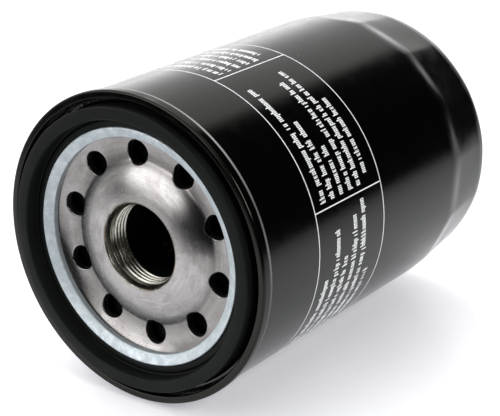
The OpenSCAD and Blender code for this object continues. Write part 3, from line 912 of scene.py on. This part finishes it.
def dress_frame():
    """Finishes for the CAD nodes that stay as they are."""
    finishes = {
        TIN: ("valve_retainer_ring", "lower_end_cap", "upper_end_cap", "media_seam_clip",
              "bypass_valve_body"),
        RUBBER: ("element_grommet", "bypass_body_seal", "bypass_disc_seal"),
        ADHESIVE: ("lower_potting", "upper_potting"),
        # Painted shade: the centre tube and the spring cage are near-black for the shade inside the can.
        PAINTED_SHADE_STEEL: ("center_tube", "bypass_spring_cage"),
        HOT_MELT: ("pleat_bands",),
        # Painted shade: the bypass disc is near-black for the shade inside the bore.
        NYLON: ("bypass_valve_disc",)}
    for material, names in finishes.items():
        for name in names:
            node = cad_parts[name]
            if not node.material_slots:
                node.data.materials.append(material)
            for slot in node.material_slots:
                slot.material = material


# ---------------------------------------------------------------- studio
# In metres
FLOOR_SIZE = 12
FLOOR_GAP = 0.0001
AIM = Vector((0, 0.06, 0))    # the middle of the can, which the lights face


def build_floor():
    """A white glossy table that fades out in front and at the far right, where the room is dark."""
    bpy.ops.mesh.primitive_plane_add(size=FLOOR_SIZE, location=(0, 0, -SEAM_R * MM - FLOOR_GAP))
    floor = bpy.context.object
    floor.name = "studio_floor"
    finish = Finish("studio_floor", (0.8, 0.8, 0.81), 0.32, IOR=1.45,
                    Emission_Color=(0.93, 0.93, 1.0, 1), Emission_Strength=0.34)
    finish.link("Roughness", finish.between(finish.noise(6, 2), 0.3, 0.7, 0.3, 0.36))
    x, y = finish.node("ShaderNodeSeparateXYZ", {0: finish.position()}).outputs[:2]
    in_front, at_right = finish.between(y, -0.2, -0.12), finish.between(x, 0.5, 0.12)
    finish.link("Alpha", finish.multiply(in_front, at_right))
    floor.data.materials.append(finish.material)


def heading(azimuth, elevation):
    """A unit vector; azimuth 0 is -Y and 90 is +X."""
    a, e = math.radians(azimuth), math.radians(elevation)
    return Vector((math.sin(a) * math.cos(e), -math.cos(a) * math.cos(e), math.sin(e)))


def build_world():
    """A dark studio with soft patches of light, which the camera itself sees as plain white."""
    world = bpy.data.worlds.new("studio")
    bpy.context.scene.world = world
    world.use_nodes = True
    tree = world.node_tree
    tree.nodes.clear()

    def math_node(operation, a, b):
        return add_node(tree, "ShaderNodeMath", {0: a, 1: b}, operation=operation).outputs[0]

    def dot(vector):
        made = add_node(tree, "ShaderNodeVectorMath", {0: way, 1: vector}, operation="DOT_PRODUCT")
        return made.outputs["Value"]

    def ramp(value, low, high, to_low=0, to_high=1):
        return smooth_range(tree, value, low, high, to_low, to_high)

    def lobe(azimuth, elevation, edge, core):
        """A round patch, full within core degrees of its middle and gone at edge degrees."""
        near = dot(heading(azimuth, elevation))
        return ramp(near, math.cos(math.radians(edge)), math.cos(math.radians(core)))

    way = add_node(tree, "ShaderNodeTexCoord").outputs["Generated"]
    up = dot((0, 0, 1))
    wall_middle = -82
    angle = math_node("ARCTAN2", dot(heading(wall_middle + 90, 0)), dot(heading(wall_middle, 0)))
    left_wall = math_node("MULTIPLY", ramp(angle, math.radians(16), math.radians(40), 1, 0),
                          ramp(angle, math.radians(-102), math.radians(-92)))
    low_glow = math_node("MULTIPLY", lobe(-138, 0, 36, 0),
                         ramp(up, math.sin(math.radians(6)), math.sin(math.radians(28)), 1, 0))
    overhead = ramp(up, math.sin(math.radians(50)), math.sin(math.radians(60)))
    front_window = lobe(-28, 18, 28, 18)
    back_rim = lobe(-172, 2, 22, 8)
    light = math_node("MULTIPLY", left_wall, 1.15)
    for patch, gain in ((low_glow, 1.0), (overhead, 1.1), (front_window, 3.4), (back_rim, 1.6)):
        light = math_node("ADD", light, math_node("MULTIPLY", patch, gain))
    room = 0.006
    light = math_node("ADD", light, room)
    seen = add_node(tree, "ShaderNodeLightPath").outputs["Is Camera Ray"]
    strength = add_node(tree, "ShaderNodeMix", {0: seen, 2: light, 3: 1.2}, data_type="FLOAT").outputs[0]
    inputs = {"Color": (1, 1, 1, 1), "Strength": strength}
    background = add_node(tree, "ShaderNodeBackground", inputs)
    add_node(tree, "ShaderNodeOutputWorld", {0: background.outputs[0]})


def add_softbox(name, azimuth, elevation, distance, width, height, power):
    """A rectangular light that faces the filter; sizes are in metres."""
    light = bpy.data.lights.new(name, "AREA")
    light.shape = "RECTANGLE"
    light.size, light.size_y = width, height
    light.energy = power
    made = bpy.data.objects.new(name, light)
    way = heading(azimuth, elevation)
    made.location = AIM + way * distance
    made.rotation_euler = way.to_track_quat("Z", "Y").to_euler()
    bpy.context.scene.collection.objects.link(made)


def build_camera():
    """The photograph's view, in a frame whose longer side is 500 of 500 by 416."""
    back = Vector((0.5535, -0.7491, 0.3641)).normalized()
    right = Vector((0.8043, 0.5943, 0.0)).normalized()
    up = back.cross(right)
    camera = bpy.data.cameras.new("camera")
    camera.lens = 113.26
    camera.sensor_width = 36
    camera.clip_start = 0.01
    made = bpy.data.objects.new("camera", camera)
    turned = Matrix((right, up, back)).transposed()
    made.matrix_world = Matrix.Translation((0.3131, -0.3688, 0.2004)) @ turned.to_4x4()
    bpy.context.scene.collection.objects.link(made)
    bpy.context.scene.camera = made


build_camera()
build_can()
build_lid()
build_gasket()
build_sealant()
build_plate()
build_print()
build_media()
build_springs()
build_drain_valve()
dress_frame()
build_floor()
build_world()
add_softbox("key", azimuth=-125, elevation=52, distance=1.6, width=1.0, height=1.0, power=5)
add_softbox("fill", azimuth=80, elevation=32, distance=1.2, width=0.5, height=0.5, power=8)
bpy.context.scene.view_settings.view_transform = "Standard"
